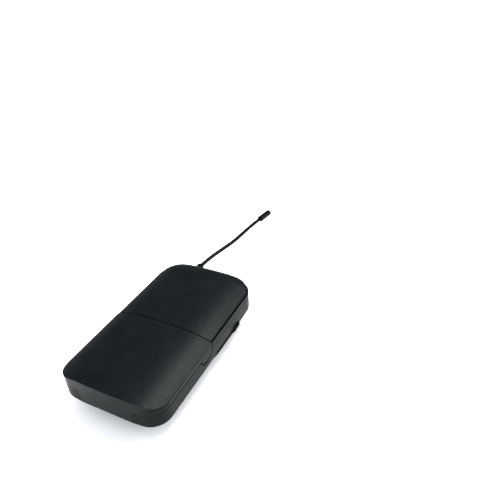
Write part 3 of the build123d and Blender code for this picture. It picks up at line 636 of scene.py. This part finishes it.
def make_segments(materials):
    """Two seven-segment digits standing on the display under its window."""
    low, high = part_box("channel_display")
    centre = (low + high) / 2
    wide, tall = high.x - low.x, high.y - low.y
    half_w, half_h = wide * DIGIT_HALF_WIDTH, tall * DIGIT_HALF_HEIGHT
    upright, level = Vector((0, 1, 0)), Vector((1, 0, 0))
    work = bmesh.new()

    def segment(middle, along, half_length):
        """One lit bar of a digit."""
        bar(work, middle, along, half_length, SEGMENT_HALF_WIDTH * MM, high.z - BAR_SUNK * MM,
            high.z + SEGMENT_RAISED * MM)

    for digit in (-1, 1):
        middle = centre + level * digit * wide * DIGIT_OFFSET
        for row in (-1, 0, 1):
            segment(middle + upright * row * half_h * 2, level, half_w * LEVEL_SEGMENT_SHARE)
        for side in (-1, 1):
            column = middle + level * side * half_w * UPRIGHT_SEGMENT_OFFSET
            for row in (-1, 1):
                segment(column + upright * row * half_h, upright, half_h * UPRIGHT_SEGMENT_SHARE)
    mesh = finish_mesh("display_segments", work)
    new_piece("display_segments", mesh, materials["segment_red"], "root")


# ---------------------------------------------------------------- stage

def paper_white(name):
    """Matte white paper, faintly uneven."""
    material, tree, shader = new_material(name)
    uneven = noise(tree, size=40 * MM, detail=4.0)
    feed(tree, shader, Base_Color=mix_colour(tree, uneven, (0.9, 0.9, 0.9), (0.93, 0.93, 0.93)))
    feed(tree, shader, Roughness=0.9, Specular_IOR_Level=0.1)
    return material


def make_floor():
    """A pale, flat, round floor just under the part."""
    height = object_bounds()[0].z - FLOOR_GAP
    work = bmesh.new()
    middle = work.verts.new((0, 0, height))
    rows = []
    for share in FLOOR_RINGS:
        reach = FLOOR_RADIUS * share
        rows.append([work.verts.new((reach * math.cos(t), reach * math.sin(t), height))
                     for t in turn_angles(FLOOR_SIDES)])
    for index in range(FLOOR_SIDES):
        after = (index + 1) % FLOOR_SIDES
        work.faces.new((middle, rows[0][index], rows[0][after]))
        for row, outer in zip(rows, rows[1:]):
            work.faces.new((row[index], outer[index], outer[after], row[after]))
    mesh = bpy.data.meshes.new("studio_floor")
    work.to_mesh(mesh)
    work.free()
    mesh.materials.append(paper_white("studio_floor"))
    floor = bpy.data.objects.new("studio_floor", mesh)
    bpy.context.scene.collection.objects.link(floor)


def area_light(name, place, target, size, power, seen_in_gloss=True):
    """A soft rectangular light that looks at target."""
    lamp = bpy.data.lights.new(name, "AREA")
    lamp.shape = "RECTANGLE"
    lamp.size, lamp.size_y = size
    lamp.energy = power
    light = bpy.data.objects.new(name, lamp)
    bpy.context.scene.collection.objects.link(light)
    facing = (Vector(target) - Vector(place)).to_track_quat("-Z", "Y")
    light.matrix_world = Matrix.Translation(Vector(place)) @ facing.to_matrix().to_4x4()
    light.visible_glossy = seen_in_gloss


def make_surroundings():
    """An even pale tent of light, dim where glossy surfaces mirror it."""
    world = bpy.data.worlds.new("studio")
    bpy.context.scene.world = world
    world.use_nodes = True
    tree = world.node_tree
    rays = add(tree, "LightPath")
    strength = spread(tree, rays.outputs["Is Glossy Ray"], 0.0, 1.0, TENT_LIGHT, TENT_GLOSS)
    feed(tree, tree.nodes["Background"], Color=TENT_COLOUR, Strength=strength)


def make_lights():
    """A broad fill from behind, a box that draws the band along the front, and one for the right edge."""
    area_light("back_fill", **BACK_FILL, seen_in_gloss=False)
    area_light("strip_box", **STRIP_BOX)
    area_light("edge_box", **EDGE_BOX)


def make_camera():
    """The camera, looking down at the part from the lower right."""
    azimuth = math.radians(CAMERA_AZIMUTH)
    elevation = math.radians(CAMERA_ELEVATION)
    roll = math.radians(CAMERA_ROLL)
    back = Vector((math.sin(azimuth) * math.cos(elevation), -math.cos(azimuth) * math.cos(elevation),
                   math.sin(elevation)))
    right = Vector((math.cos(azimuth), math.sin(azimuth), 0.0))
    up = back.cross(right)
    across = right * math.cos(roll) + up * math.sin(roll)
    upward = up * math.cos(roll) - right * math.sin(roll)
    data = bpy.data.cameras.new("camera")
    data.lens = CAMERA_LENS
    data.sensor_width = CAMERA_SENSOR
    data.clip_start = CAMERA_CLIP_START
    camera = bpy.data.objects.new("camera", data)
    bpy.context.scene.collection.objects.link(camera)
    turned = Matrix((across, upward, back)).transposed().to_4x4()
    camera.matrix_world = Matrix.Translation(CAMERA_PLACE) @ turned
    bpy.context.scene.camera = camera


def main():
    """Dresses the part, adds the fine pieces and sets the stage."""
    bpy.context.scene.view_settings.view_transform = "Standard"
    materials = make_materials()
    dress_nodes(materials)
    make_whip(materials)
    make_dial(materials)
    make_dial_scale(materials)
    make_segments(materials)
    make_floor()
    make_surroundings()
    make_lights()
    make_camera()


main()
